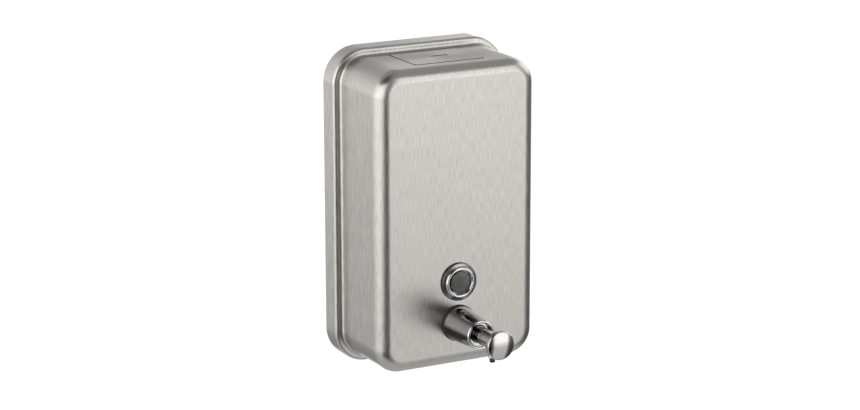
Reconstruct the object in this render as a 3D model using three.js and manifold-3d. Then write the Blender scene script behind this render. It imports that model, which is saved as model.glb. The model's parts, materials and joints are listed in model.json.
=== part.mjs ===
// Wall-mounted soap dispenser: a deep-drawn steel tank that hangs on a wall plate, with a flush
// filler lid on top, a sight window and a horizontal push valve low on the front.
// Millimetres. +X is to the right as one faces it, -Y comes out of the wall and +Z is up.
// The origin is the middle of the wall plate's back face, so the wall is the plane y = 0.
// "Depth" below always means the distance out of the wall, which is -y.
import * as THREE from "three";
import { mergeVertices } from "three/addons/utils/BufferGeometryUtils.js";
import Module from "manifold-3d";

const wasm = await Module();
wasm.setup();

// ---------------------------------------------------------------- sizes

const seat = 0.3; // gap left between two pieces that touch
const run = 0.25; // radial play of what turns or slides
const past = 2; // how far a cutter runs past what it cuts

const body = {
  width: 122,
  height: 205,
  depth: 66,
  sheet: 1,
  cornerRadius: 22, // of the rim, seen from the front
  rimDepth: 14.5,
  stepWidth: 5.2, // the box stands in from the rim by this on every side
  stepRadius: 2,
  frontFillet: 8.5,
};

const panel = {
  depth: 8, // its wall side, so the space left for the wall plate
  sheet: 1,
  flangeFrom: 1.5,
};

const plate = {
  baseHalf: 28,
  wingHalf: 40,
  halfHeight: 42,
  sheet: 1.5,
  joggle: 3, // how far the wings stand off the wall
  rampRun: 3,
  screwX: 18,
  screwZ: 28,
  screwHoleRadius: 2.6,
  tongueHalf: 8,
};

const rail = {
  sheet: 1.2,
  lip: 7, // how far the lip reaches behind the wing
  flange: 9,
  halfHeight: 45,
  sideGap: 1.5, // wing edge to web
};

const lock = { radius: 2, headRadius: 3.8, headHeight: 2.2, depth: 4.2, socket: 1.3 };

const lid = {
  width: 48,
  frontMargin: 3.2, // from the lid's front edge to where the front fillet starts
  rearMargin: 2.5, // from the step to the lid's rear edge
  cornerRadius: 2,
  holeCornerRadius: 1, // sharper than the lid's own, so that its corners clear as it swings
  seam: 0.4,
  rearSeam: 0.8,
  slotLength: 12,
  slotWidth: 1.6,
  slotX: 2.9, // the key slot and the latch under it sit a little off the middle
  ledge: 3, // how far the seat reaches under the lid's edge
  seatBorder: 4, // how far the seat reaches under the top, past the lid's sides
  frontBorder: 3, // and past its front
  hingeIn: 2.2, // the pin's place, in from the rear edge and down from the top
  pinRadius: 0.8,
  knuckleRadius: 1.7,
  knuckleWidth: 4,
  knuckleX: 16,
};

const latch = {
  boltHalf: 4,
  boltThickness: 1.6,
  guideSheet: 1,
  rearFromLid: 7, // guide's rear wall, from the lid's rear edge
  springLength: 4,
  springRadius: 1.2,
  springWire: 0.15,
  springTurns: 3,
  tongueThickness: 1.2,
  noseReach: 2, // how far the bolt goes under the ledge
  travel: 3,
};

const sight = {
  height: -41.8, // of its axis, from the middle of the body
  flangeRadius: 12.1,
  gasketRadius: 12.35,
  edge: 0.5,
  lipRadius: 10.2,
  lipHeight: 2.5,
  lensRadius: 7.4,
  lensThickness: 1.4,
  lensCrown: 0.4,
  tailRadius: 9.3,
  tailDepth: 9,
  gasket: 0.6,
  sealWidth: 1.1,
  nutRadius: 11.6,
  nutHeight: 4,
};

const valve = {
  height: -69, // of its axis, from the middle of the body
  gasketRadius: 11.8,
  gasket: 1.5,
  collarBase: 11.3,
  collarFront: 9.5,
  collarReach: 30, // front of the collar, from the body's face
  lip: 2, // thickness of the collar's lip
  recess: 3.2,
  barrelRadius: 8.2,
  bore: 6.6,
  barrelInside: 12, // how far the barrel reaches into the tank
  bushFlange: 1.5,
  bushLength: 4,
  bushWall: 1,
  bulkhead: 2,
  bulkheadFrom: 5, // its chamber side, behind the body's face
  nutRadius: 12,
  nutHeight: 5.5,
};

const plunger = {
  radius: 5.4,
  tailRadius: 4,
  pistonLength: 6,
  spigotRadius: 3.4,
  spigotLength: 6,
  channel: 1.5,
  stroke: 10.5,
  faceReach: 56, // front of the button, from the body's face
  buttonRadius: 9.3,
  buttonThickness: 4.6,
  buttonRound: 1,
  buttonCrown: 1.3,
  flare: 1.3, // where the neck widens into the button's back
  neckPast: 1.5, // how far the neck runs past the spout
  spoutRadius: 2.5,
  spoutGap: 0.7, // left between the spout and the collar with the button pressed home
  spoutDrop: 10.6, // end of the spout, below the axis
  spoutWall: 0.5,
  tipProud: 2.9,
  tipWall: 0.6,
  sealGroove: 2.4,
  springWire: 0.45,
  springTurns: 6,
};

const outlet = {
  ball: 1.9,
  chamber: 2.4,
  inlet: 1.3,
  coneLength: 0.8,
  room: 7,
  springWire: 0.18,
  springTurns: 4,
};

const inlet = {
  spigotRadius: 4.7,
  passage: 2.5,
  legBack: 7, // axis of the upright leg, behind the barrel's end
  legRadius: 5.2,
  legDrop: 18,
  chamber: 3.6,
  ball: 2.6,
  seatRadius: 1.9,
  seatDrop: 10.5, // the seat's edge, below the valve's axis
  coneHeight: 1.5,
  lift: 1.5,
  tubeRadius: 3,
  tubeBore: 2,
  tubeSocket: 5.5,
  floorGap: 3,
};

// ---------------------------------------------------------------- worked-out places

const top = body.height / 2 - body.stepWidth; // outer face of the box's top
const bottom = -body.height / 2; // underside of the rim
const lidRear = body.rimDepth + body.stepRadius + lid.rearMargin;
const lidFront = body.depth - body.frontFillet - lid.frontMargin;
const face = body.depth; // depth of the front face's outer side
const inside = face - body.sheet; // depth of its inner side
const hinge = { depth: lidRear + lid.hingeIn, height: top - lid.hingeIn };
const collarEnd = face + valve.collarReach;
const barrelEnd = collarEnd - valve.recess - valve.bushFlange - seat;
const barrelRear = face - valve.barrelInside;
const bulkheadFront = face - valve.bulkheadFrom;
const pistonFront = barrelEnd - valve.bushLength - seat;
const pistonRear = pistonFront - plunger.pistonLength;
const buttonFace = face + plunger.faceReach;
const buttonBack = buttonFace - plunger.buttonThickness;
const spoutDepth = collarEnd + plunger.stroke + plunger.spoutGap + plunger.spoutRadius;
const neckBack = spoutDepth - plunger.spoutRadius - plunger.neckPast;
const stemFront = neckBack - seat;
const legDepth = barrelRear - inlet.legBack;

// ---------------------------------------------------------------- shape helpers

// A closed three.js geometry as a solid that can be joined and cut.
function solid(geometry) {
  const flat = geometry.index ? geometry.toNonIndexed() : geometry;
  const bare = new THREE.BufferGeometry();
  bare.setAttribute("position", flat.getAttribute("position"));
  const merged = mergeVertices(bare, 1e-4);
  const corners = [];
  for (let i = 0; i < merged.index.count; i += 3) {
    const [a, b, c] = [0, 1, 2].map((k) => merged.index.getX(i + k));
    if (a !== b && b !== c && c !== a) corners.push(a, b, c);
  }
  const build = (triVerts) =>
    new wasm.Manifold(
      new wasm.Mesh({
        numProp: 3,
        vertProperties: merged.attributes.position.array,
        triVerts: new Uint32Array(triVerts),
      }),
    );
  const made = build(corners);
  return made.volume() > 0 ? made : build(corners.reverse());
}

// A closed solid through a stack of rings, each a list of [x, y, z] with the same number of points.
function loft(rings) {
  const count = rings[0].length;
  const last = (rings.length - 1) * count;
  const index = [];
  for (let r = 0; r + 1 < rings.length; r++) {
    for (let i = 0; i < count; i++) {
      const a = r * count + i;
      const b = r * count + ((i + 1) % count);
      index.push(a, b, a + count, b, b + count, a + count);
    }
  }
  for (let i = 1; i + 1 < count; i++) {
    index.push(0, i + 1, i);
    index.push(last, last + i, last + i + 1);
  }
  const geometry = new THREE.BufferGeometry();
  geometry.setAttribute("position", new THREE.Float32BufferAttribute(rings.flat(2), 3));
  geometry.setIndex(index);
  return solid(geometry);
}

// Points along an arc, angles in degrees.
function arc(centreX, centreY, radius, from, to, steps) {
  return Array.from({ length: steps + 1 }, (_, i) => {
    const angle = THREE.MathUtils.degToRad(from + ((to - from) * i) / steps);
    return [centreX + radius * Math.cos(angle), centreY + radius * Math.sin(angle)];
  });
}

// A rectangle with round corners, as [x, z] points.
function roundedRectangle(halfWidth, halfHeight, radius, steps = 6) {
  const x = halfWidth - radius;
  const z = halfHeight - radius;
  return [
    ...arc(x, z, radius, 0, 90, steps),
    ...arc(-x, z, radius, 90, 180, steps),
    ...arc(-x, -z, radius, 180, 270, steps),
    ...arc(x, -z, radius, 270, 360, steps),
  ];
}

// The body's outline, drawn in by an inset, at a depth.
function bodyRing([inset, depth]) {
  const outline = roundedRectangle(
    body.width / 2 - inset,
    body.height / 2 - inset,
    body.cornerRadius - inset,
  );
  return outline.map(([x, z]) => [x, -depth, z]);
}

function box(x0, x1, depth0, depth1, z0, z1) {
  const geometry = new THREE.BoxGeometry(x1 - x0, depth1 - depth0, z1 - z0);
  return solid(geometry.translate((x0 + x1) / 2, -(depth0 + depth1) / 2, (z0 + z1) / 2));
}

// A flat outline of [a, b] points pushed through a height, then turned into place.
function extrude(points, height) {
  const shape = new THREE.Shape(points.map(([a, b]) => new THREE.Vector2(a, b)));
  return new THREE.ExtrudeGeometry(shape, { depth: height, bevelEnabled: false });
}

// Turned pieces whose axis comes straight out of the wall: the profile is [radius, depth] points.
function turned(profile, sides = 24) {
  return solid(
    new THREE.LatheGeometry(profile.map(([r, depth]) => new THREE.Vector2(r, -depth)), sides),
  );
}

// Turned pieces with an upright axis: the profile is [radius, height] points.
function upright(profile, sides = 24) {
  const geometry = new THREE.LatheGeometry(profile.map(([r, z]) => new THREE.Vector2(r, z)), sides);
  return solid(geometry.rotateX(Math.PI / 2));
}

function ring(outer, inner, depth0, depth1, sides = 24) {
  return turned(
    [
      [inner, depth0],
      [outer, depth0],
      [outer, depth1],
      [inner, depth1],
      [inner, depth0],
    ],
    sides,
  );
}

function rod(radius, depth0, depth1, sides = 24) {
  return turned(
    [
      [0, depth0],
      [radius, depth0],
      [radius, depth1],
      [0, depth1],
    ],
    sides,
  );
}

function uprightRod(radius, z0, z1, sides = 24) {
  return upright(
    [
      [0, z0],
      [radius, z0],
      [radius, z1],
      [0, z1],
    ],
    sides,
  );
}

// A nut or ring with flat sides and a round hole.
function nut(radius, hole, depth0, depth1, sides) {
  return rod(radius, depth0, depth1, sides).subtract(rod(hole, depth0 - past, depth1 + past));
}

// A rod across the part, along X.
function crossRod(radius, x0, x1, sides = 16) {
  const geometry = new THREE.CylinderGeometry(radius, radius, x1 - x0, sides);
  return solid(geometry.rotateZ(Math.PI / 2).translate((x0 + x1) / 2, 0, 0));
}

// A coil spring with its axis along Y, between two depths.
function coil(radius, wire, turns, depth0, depth1) {
  class Helix extends THREE.Curve {
    getPoint(t) {
      const angle = 2 * Math.PI * turns * t;
      const depth = depth0 + wire + (depth1 - depth0 - 2 * wire) * t;
      return new THREE.Vector3(radius * Math.cos(angle), -depth, radius * Math.sin(angle));
    }
  }
  const section = new THREE.Shape(arc(0, 0, wire, 0, 300, 5).map(([a, b]) => new THREE.Vector2(a, b)));
  return solid(
    new THREE.ExtrudeGeometry(section, {
      steps: turns * 12,
      extrudePath: new Helix(),
      bevelEnabled: false,
    }),
  );
}

const finishes = {
  brushedSteel: { color: 0xc9c6c1, metalness: 1, roughness: 0.38 },
  plainSteel: { color: 0xa8a9a8, metalness: 1, roughness: 0.5 },
  chrome: { color: 0xe4e5e6, metalness: 1, roughness: 0.06 },
  rubber: { color: 0x1b1b1c, metalness: 0, roughness: 0.7 },
  acetal: { color: 0xe6e4dd, metalness: 0, roughness: 0.45 },
  blackNylon: { color: 0x202124, metalness: 0, roughness: 0.5 },
  acrylic: { color: 0xaeb4b8, metalness: 0, roughness: 0.05 },
};

const materials = Object.fromEntries(
  Object.entries(finishes).map(([name, look]) => [
    name,
    new THREE.MeshStandardMaterial({ name, ...look }),
  ]),
);

function piece(name, shape, material) {
  const { vertProperties, triVerts } = shape.getMesh();
  const geometry = new THREE.BufferGeometry();
  geometry.setAttribute("position", new THREE.BufferAttribute(vertProperties, 3));
  geometry.setIndex(new THREE.BufferAttribute(triVerts, 1));
  geometry.computeVertexNormals();
  const mesh = new THREE.Mesh(geometry, material);
  mesh.name = name;
  return mesh;
}

function group(children, x = 0, depth = 0, z = 0) {
  const made = new THREE.Group();
  made.position.set(x, -depth, z);
  made.add(...children);
  return made;
}

// ---------------------------------------------------------------- tank

// The drawn profile from the wall to the front, as [inset, depth]; skin is the depth below the surface.
function drawnProfile(skin, startDepth) {
  const step = body.stepRadius;
  const inner = body.stepWidth - step;
  const fillet = body.frontFillet;
  return [
    [skin, startDepth],
    ...arc(step, body.rimDepth - step, step - skin, 180, 90, 3),
    ...arc(inner, body.rimDepth + step, step + skin, -90, 0, 3),
    ...arc(body.stepWidth + fillet, body.depth - fillet, fillet - skin, 180, 90, 5),
  ];
}

function lidOutline(grow, rearGrow, cornerRadius) {
  const halfDepth = (lidFront - lidRear + grow + rearGrow) / 2;
  const middle = (lidFront + grow + lidRear - rearGrow) / 2;
  const outline = roundedRectangle(lid.width / 2 + grow, halfDepth, cornerRadius, 4);
  return outline.map(([x, d]) => [x, d - middle]);
}

function frontShell() {
  const skin = loft(drawnProfile(0, 0).map(bodyRing)).subtract(
    loft(drawnProfile(body.sheet, -past).map(bodyRing)),
  );
  const holeOutline = lidOutline(lid.seam, lid.rearSeam, lid.holeCornerRadius);
  const lidHole = solid(extrude(holeOutline, 2 * past).translate(0, 0, top - body.sheet - past / 2));
  const throughFace = (radius, z) =>
    rod(radius + seat, inside - past, face + past, 32).translate(0, 0, z);
  const screwHole = uprightRod(lock.radius + seat, bottom - past, bottom + body.sheet + past, 16);
  return skin
    .subtract(lidHole)
    .subtract(throughFace(sight.tailRadius, sight.height))
    .subtract(throughFace(valve.barrelRadius, valve.height))
    .subtract(screwHole.translate(0, -lock.depth, 0));
}

// A pan pressed into the back of the rim, with its flange turned to the wall.
function backPanel() {
  const edge = body.sheet + seat;
  const pan = loft([
    bodyRing([edge, panel.flangeFrom]),
    bodyRing([edge, panel.depth + panel.sheet]),
  ]);
  const hollow = loft([
    bodyRing([edge + panel.sheet, panel.flangeFrom - past]),
    bodyRing([edge + panel.sheet, panel.depth]),
  ]);
  const notchHalf = lock.radius + 2 * seat;
  const notchTop = bottom + edge + panel.sheet + past;
  const notch = box(-notchHalf, notchHalf, 0, lock.depth + notchHalf, bottom, notchTop);
  return pan.subtract(hollow).subtract(notch);
}

// ---------------------------------------------------------------- wall mounting

// A joggled plate: the middle lies on the wall and both wings stand off it for the rails.
function wallPlate() {
  const { baseHalf, rampRun, wingHalf, joggle, sheet } = plate;
  const half = [
    [baseHalf, 0],
    [baseHalf + rampRun, joggle],
    [wingHalf, joggle],
    [wingHalf, joggle + sheet],
    [baseHalf + rampRun - sheet / 2, joggle + sheet],
    [baseHalf - sheet / 2, sheet],
  ];
  const mirrored = half.map(([x, d]) => [-x, d]).reverse();
  const section = [...half, ...mirrored].map(([x, d]) => [x, -d]);
  const joggled = solid(
    extrude(section, 2 * plate.halfHeight).translate(0, 0, -plate.halfHeight),
  );
  const tabTop = bottom + body.sheet + panel.sheet + 3 * seat + plate.sheet + 1;
  const tabDepth = panel.depth - 2 * seat;
  const half2 = plate.tongueHalf;
  const tongue = box(-half2, half2, 0, sheet, tabTop - sheet, -plate.halfHeight + past);
  const tab = box(-half2, half2, 0, tabDepth, tabTop - sheet, tabTop);
  const tapped = uprightRod(lock.radius + seat, tabTop - 2 * sheet, tabTop + sheet, 16);
  let made = joggled.add(tongue).add(tab).subtract(tapped.translate(0, -lock.depth, 0));
  for (const x of [-plate.screwX, plate.screwX]) {
    for (const z of [-plate.screwZ, plate.screwZ]) {
      made = made.subtract(rod(plate.screwHoleRadius, -past, sheet + past, 16).translate(x, 0, z));
    }
  }
  return made;
}

// A receiver rail: welded flange, web, a lip that slides behind the wing, and a stop that rests on it.
function receiverRail(side) {
  const web = plate.wingHalf + rail.sideGap;
  const back = panel.depth - seat;
  const lipFrom = plate.joggle - seat - rail.sheet - seat;
  const { sheet, halfHeight } = rail;
  const at = (x0, x1, d0, d1, z0, z1) =>
    side > 0 ? box(x0, x1, d0, d1, z0, z1) : box(-x1, -x0, d0, d1, z0, z1);
  return at(web, web + rail.flange, back - sheet, back, -halfHeight, halfHeight)
    .add(at(web, web + sheet, lipFrom, back, -halfHeight, halfHeight))
    .add(at(web - rail.lip, web + sheet, lipFrom, lipFrom + sheet, -halfHeight, halfHeight))
    .add(
      at(
        web - rail.lip,
        web + sheet,
        lipFrom,
        back - sheet,
        plate.halfHeight + seat,
        plate.halfHeight + seat + sheet,
      ),
    );
}

function lockScrew() {
  const under = bottom - seat;
  const tip = bottom + body.sheet + panel.sheet + 3 * seat + 2 * plate.sheet + 1.5;
  const screw = upright(
    [
      [0, under - lock.headHeight],
      [lock.headRadius - 0.6, under - lock.headHeight],
      [lock.headRadius, under - lock.headHeight + 0.6],
      [lock.headRadius, under],
      [lock.radius, under],
      [lock.radius, tip - 0.6],
      [lock.radius - 0.6, tip],
      [0, tip],
    ],
    20,
  );
  const socket = uprightRod(lock.socket, under - lock.headHeight - past, under - 0.8, 6);
  return screw.subtract(socket).translate(0, -lock.depth, 0);
}

// ---------------------------------------------------------------- filler lid and latch

const lidUnder = top - body.sheet;
const seatTop = lidUnder - seat;
const seatUnder = seatTop - body.sheet;
const boltTop = seatUnder - 0.4;
const boltUnder = boltTop - latch.boltThickness;
const guideRear = lidRear + latch.rearFromLid;
const guideFront = lidFront - lid.ledge - latch.noseReach;
const boltRear = guideRear + latch.guideSheet + latch.springLength + 2 * seat;
const boltNose = lidFront - lid.ledge + latch.noseReach;
const slotDepth = boltRear + latch.tongueThickness + 1.4 + lid.slotWidth / 2;

// The lid pieces are drawn in the tank's frame and hung on the hinge pin; the latch is under the slot.
const onHinge = (shape) => shape.translate(0, hinge.depth, -hinge.height);
const underSlot = (shape) => onHinge(shape).translate(lid.slotX, 0, 0);

function fillerLid() {
  const outline = lidOutline(0, 0, lid.cornerRadius);
  const skin = solid(extrude(outline, body.sheet).translate(0, 0, lidUnder));
  const slot = box(
    lid.slotX - lid.slotLength / 2,
    lid.slotX + lid.slotLength / 2,
    slotDepth - lid.slotWidth / 2,
    slotDepth + lid.slotWidth / 2,
    lidUnder - past,
    top + past,
  );
  let made = skin.subtract(slot);
  for (const side of [-1, 1]) {
    const from = side * lid.knuckleX - lid.knuckleWidth / 2;
    const eye = crossRod(lid.knuckleRadius, from, from + lid.knuckleWidth);
    const web = box(
      from,
      from + lid.knuckleWidth,
      hinge.depth - lid.knuckleRadius * 0.8,
      hinge.depth + lid.knuckleRadius * 0.8,
      hinge.height,
      lidUnder + body.sheet / 2,
    );
    const pinHole = crossRod(lid.pinRadius + run, from - past, from + lid.knuckleWidth + past);
    made = made
      .add(eye.translate(0, -hinge.depth, hinge.height))
      .add(web)
      .subtract(pinHole.translate(0, -hinge.depth, hinge.height));
  }
  return onHinge(made);
}

// The seat: a flat frame under the top that the lid rests on, cut away behind, with an ear for each pin end.
function lidSeat() {
  const half = lid.width / 2;
  const rear = body.rimDepth + body.stepRadius + seat;
  const front = lidFront + lid.frontBorder;
  const border = half + lid.seatBorder;
  const swing = hinge.depth + lid.ledge;
  const frame = box(-border, border, rear, front, seatUnder, seatTop)
    .subtract(
      box(
        -half + lid.ledge,
        half - lid.ledge,
        swing - 1,
        lidFront - lid.ledge,
        seatUnder - past,
        seatTop + past,
      ),
    )
    .subtract(
      box(-half - 0.8, half + 0.8, lidRear - 1.4, swing, seatUnder - past, seatTop + past),
    );
  const earFoot = hinge.height - lid.knuckleRadius - 0.6;
  let made = frame;
  for (const side of [-1, 1]) {
    const near = half + 1.1;
    const [x0, x1] = side > 0 ? [near, near + 1.2] : [-near - 1.2, -near];
    const ear = box(x0, x1, lidRear - 0.8, swing, earFoot, seatUnder + body.sheet / 2);
    const pinHole = crossRod(lid.pinRadius + run, x0 - past, x1 + past);
    made = made.add(ear).subtract(pinHole.translate(0, -hinge.depth, hinge.height));
  }
  return made;
}

function hingePin() {
  const reach = lid.width / 2 + 1.1 + 1.2 - seat;
  return crossRod(lid.pinRadius, -reach, reach).translate(0, -hinge.depth, hinge.height);
}

function latchGuide() {
  const half = latch.boltHalf + seat;
  const { guideSheet } = latch;
  const floor = boltUnder - seat;
  const outer = half + guideSheet;
  const channel = box(-outer, outer, guideRear, guideFront, floor - guideSheet, lidUnder - seat);
  const hollow = box(-half, half, guideRear + guideSheet, guideFront + past, floor, lidUnder);
  return underSlot(channel.subtract(hollow));
}

function latchBolt() {
  const { boltHalf, tongueThickness } = latch;
  const bar = box(-boltHalf, boltHalf, boltRear, boltNose, boltUnder, boltTop);
  const tongueTop = lidUnder - 2 * seat;
  return underSlot(
    bar.add(box(-boltHalf, boltHalf, boltRear, boltRear + tongueThickness, boltUnder, tongueTop)),
  );
}

function latchSpring() {
  const from = guideRear + latch.guideSheet + seat;
  const { springRadius, springWire, springTurns } = latch;
  const wound = coil(springRadius, springWire, springTurns, from, from + latch.springLength);
  return underSlot(wound.translate(0, 0, (boltUnder + lidUnder) / 2));
}

// ---------------------------------------------------------------- sight window, drawn on its own axis

const sightFlange = face + seat + sight.gasket + seat; // depth of the bezel's back
const lensSeat = face; // depth of the bezel's inner shoulder
const lensBack = lensSeat + sight.sealWidth + 2 * seat;

function windowGasket() {
  return ring(
    sight.gasketRadius,
    sight.tailRadius + seat,
    face + seat,
    face + seat + sight.gasket,
    32,
  );
}

function windowBezel() {
  const pocket = sight.lensRadius + seat;
  const back = inside - sight.tailDepth;
  const lipTop = sightFlange + sight.lipHeight;
  const round = (sight.lipRadius - pocket) / 2;
  return turned(
    [
      [sight.lensRadius - sight.sealWidth, back],
      [sight.tailRadius, back],
      [sight.tailRadius, sightFlange],
      [sight.flangeRadius, sightFlange],
      [sight.flangeRadius, sightFlange + sight.edge],
      [sight.lipRadius, lipTop - round],
      ...arc(pocket + round, lipTop - round, round, 45, 180, 3),
      [pocket, lensSeat],
      [sight.lensRadius - sight.sealWidth, lensSeat],
      [sight.lensRadius - sight.sealWidth, back],
    ],
    32,
  );
}

function windowLens() {
  const front = lensBack + sight.lensThickness;
  return turned(
    [
      [0, lensBack],
      [sight.lensRadius, lensBack],
      [sight.lensRadius, front],
      [sight.lensRadius * 0.6, front + sight.lensCrown * 0.7],
      [0, front + sight.lensCrown],
    ],
    32,
  );
}

function lensSeal() {
  const { lensRadius, sealWidth } = sight;
  return ring(lensRadius, lensRadius - sealWidth + 0.1, lensSeat + seat, lensBack - seat, 24);
}

function windowWasher() {
  return ring(sight.nutRadius, sight.tailRadius + seat, inside - seat - 1, inside - seat, 24);
}

function windowNut() {
  const front = inside - 2 * seat - 1;
  return nut(sight.nutRadius, sight.tailRadius + seat, front - sight.nutHeight, front, 12);
}

// ---------------------------------------------------------------- push valve, drawn on its own axis

const collarBack = face + 2 * seat + valve.gasket;

function valveGasket() {
  const { gasketRadius, gasket } = valve;
  const from = face + seat;
  return turned(
    [
      [valve.barrelRadius + seat, from],
      [gasketRadius, from],
      [gasketRadius, from + gasket * 0.6],
      [gasketRadius - gasket * 0.4, from + gasket],
      [valve.barrelRadius + seat, from + gasket],
      [valve.barrelRadius + seat, from],
    ],
    32,
  );
}

function valveCollar() {
  const mouth = valve.collarFront - valve.lip;
  const sleeve = valve.barrelRadius + seat;
  const shoulder = barrelEnd + valve.bushFlange + 2 * seat;
  const round = valve.lip / 2;
  return turned(
    [
      [sleeve, collarBack],
      [valve.collarBase - 0.4, collarBack],
      [valve.collarBase, collarBack + 0.4],
      [valve.collarFront, collarEnd - round],
      ...arc(valve.collarFront - round, collarEnd - round, round, 45, 180, 3),
      [mouth, shoulder],
      [sleeve, shoulder],
      [sleeve, collarBack],
    ],
    32,
  );
}

// The barrel goes through the tank's front; its chamber is in front of the bulkhead.
function valveBarrel() {
  const bushSeat = valve.bore + valve.bushWall - seat;
  return turned([
    [valve.bore, bulkheadFront],
    [valve.bore, barrelEnd - valve.bushLength],
    [bushSeat, barrelEnd - valve.bushLength],
    [bushSeat, barrelEnd],
    [valve.barrelRadius, barrelEnd],
    [valve.barrelRadius, barrelRear],
    [inlet.spigotRadius + seat, barrelRear],
    [inlet.spigotRadius + seat, bulkheadFront - valve.bulkhead],
    [inlet.passage, bulkheadFront - valve.bulkhead],
    [inlet.passage, bulkheadFront],
    [valve.bore, bulkheadFront],
  ]);
}

function guideBush() {
  const play = plunger.radius + run;
  const spigot = valve.bore + valve.bushWall - 2 * seat;
  return turned([
    [play, barrelEnd - valve.bushLength + seat],
    [spigot, barrelEnd - valve.bushLength + seat],
    [spigot, barrelEnd + seat],
    [valve.barrelRadius, barrelEnd + seat],
    [valve.barrelRadius, barrelEnd + seat + valve.bushFlange],
    [play, barrelEnd + seat + valve.bushFlange],
    [play, barrelEnd - valve.bushLength + seat],
  ]);
}

function tankWasher() {
  return ring(valve.nutRadius, valve.barrelRadius + seat, inside - seat - 1.5, inside - seat);
}

function barrelNut() {
  const front = inside - 2 * seat - 1.5;
  return nut(valve.nutRadius, valve.barrelRadius + seat, front - valve.nutHeight, front, 6);
}

// Stem with the outlet valve's ball chamber in its tail.
function plungerStem() {
  const seatDepth = pistonRear + 1.6;
  const chamberEnd = seatDepth + outlet.coneLength + outlet.room;
  return turned([
    [outlet.inlet, pistonRear],
    [plunger.tailRadius, pistonRear],
    [plunger.tailRadius, pistonFront + 0.4],
    [plunger.radius, pistonFront + 0.4],
    [plunger.radius, stemFront],
    [plunger.spigotRadius, stemFront],
    [plunger.spigotRadius, stemFront + plunger.spigotLength],
    [plunger.channel, stemFront + plunger.spigotLength],
    [plunger.channel, chamberEnd],
    [outlet.chamber, chamberEnd],
    [outlet.chamber, seatDepth + outlet.coneLength],
    [outlet.inlet, seatDepth],
    [outlet.inlet, pistonRear],
  ]);
}

function piston() {
  const outer = valve.bore - run;
  const inner = plunger.tailRadius + seat;
  const groove = outer - 1.2;
  const middle = (pistonFront + pistonRear) / 2;
  const half = plunger.sealGroove / 2;
  return turned([
    [inner, pistonRear + 0.4],
    [outer, pistonRear + 0.4],
    [outer, middle - half],
    [groove, middle - half],
    [groove, middle + half],
    [outer, middle + half],
    [outer, pistonFront],
    [inner, pistonFront],
    [inner, pistonRear + 0.4],
  ]);
}

function pistonSeal() {
  const middle = (pistonFront + pistonRear) / 2;
  const half = plunger.sealGroove / 2 - seat;
  const outer = valve.bore - run / 2;
  return ring(outer, valve.bore - run - 1.2 + 0.2, middle - half, middle + half);
}

function returnSpring() {
  const radius = (plunger.tailRadius + valve.bore) / 2;
  const { springWire, springTurns } = plunger;
  return coil(radius, springWire, springTurns, bulkheadFront + seat, pistonRear - seat + 0.2);
}

function outletBallDepth() {
  const rise = Math.sqrt((outlet.ball + 0.15) ** 2 - outlet.inlet ** 2);
  return pistonRear + 1.6 + rise;
}

function outletBall() {
  const geometry = new THREE.SphereGeometry(outlet.ball, 16, 10);
  return solid(geometry.translate(0, -outletBallDepth(), 0));
}

function outletSpring() {
  const from = outletBallDepth() + outlet.ball + 0.1;
  const end = pistonRear + 1.6 + outlet.coneLength + outlet.room - 0.1;
  const { springWire, springTurns } = outlet;
  return coil(outlet.chamber - springWire - 0.3, springWire, springTurns, from, end);
}

// Button, neck and spout are one casting; the passage comes forward from the stem and turns down.
function pushButton() {
  const { buttonRadius, buttonRound, buttonCrown, radius, flare, spoutRadius, spoutDrop } = plunger;
  const backRound = buttonRound / 2;
  const edge = buttonFace - buttonCrown - buttonRound;
  const head = turned(
    [
      [0, neckBack],
      [radius, neckBack],
      [radius, buttonBack - flare],
      [radius + flare, buttonBack],
      [buttonRadius - backRound, buttonBack],
      [buttonRadius, buttonBack + backRound],
      ...arc(buttonRadius - buttonRound, edge, buttonRound, 0, 80, 4),
      [buttonRadius * 0.45, buttonFace - buttonCrown * 0.25],
      [0, buttonFace],
    ],
    32,
  );
  const spout = uprightRod(spoutRadius, -spoutDrop, 0, 20).translate(0, -spoutDepth, 0);
  const socket = rod(plunger.spigotRadius + seat, neckBack - past, neckBack + plunger.spigotLength + seat);
  const tipFrom = -spoutDrop + 3.5;
  const passage = uprightRod(plunger.channel, tipFrom - past, 0.5, 16);
  const tipBore = uprightRod(spoutRadius - plunger.spoutWall, -spoutDrop - past, tipFrom, 16);
  return head
    .add(spout)
    .subtract(socket)
    .subtract(passage.translate(0, -spoutDepth, 0))
    .subtract(tipBore.translate(0, -spoutDepth, 0));
}

function nozzleTip() {
  const outer = plunger.spoutRadius - plunger.spoutWall - run;
  const end = -plunger.spoutDrop - plunger.tipProud;
  const upper = -plunger.spoutDrop + 3.5 - seat;
  return upright(
    [
      [outer - plunger.tipWall, end],
      [outer, end],
      [outer, upper],
      [outer - plunger.tipWall, upper],
      [outer - plunger.tipWall, end],
    ],
    16,
  ).translate(0, -spoutDepth, 0);
}

// ---------------------------------------------------------------- inlet valve under the barrel's rear end

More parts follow.
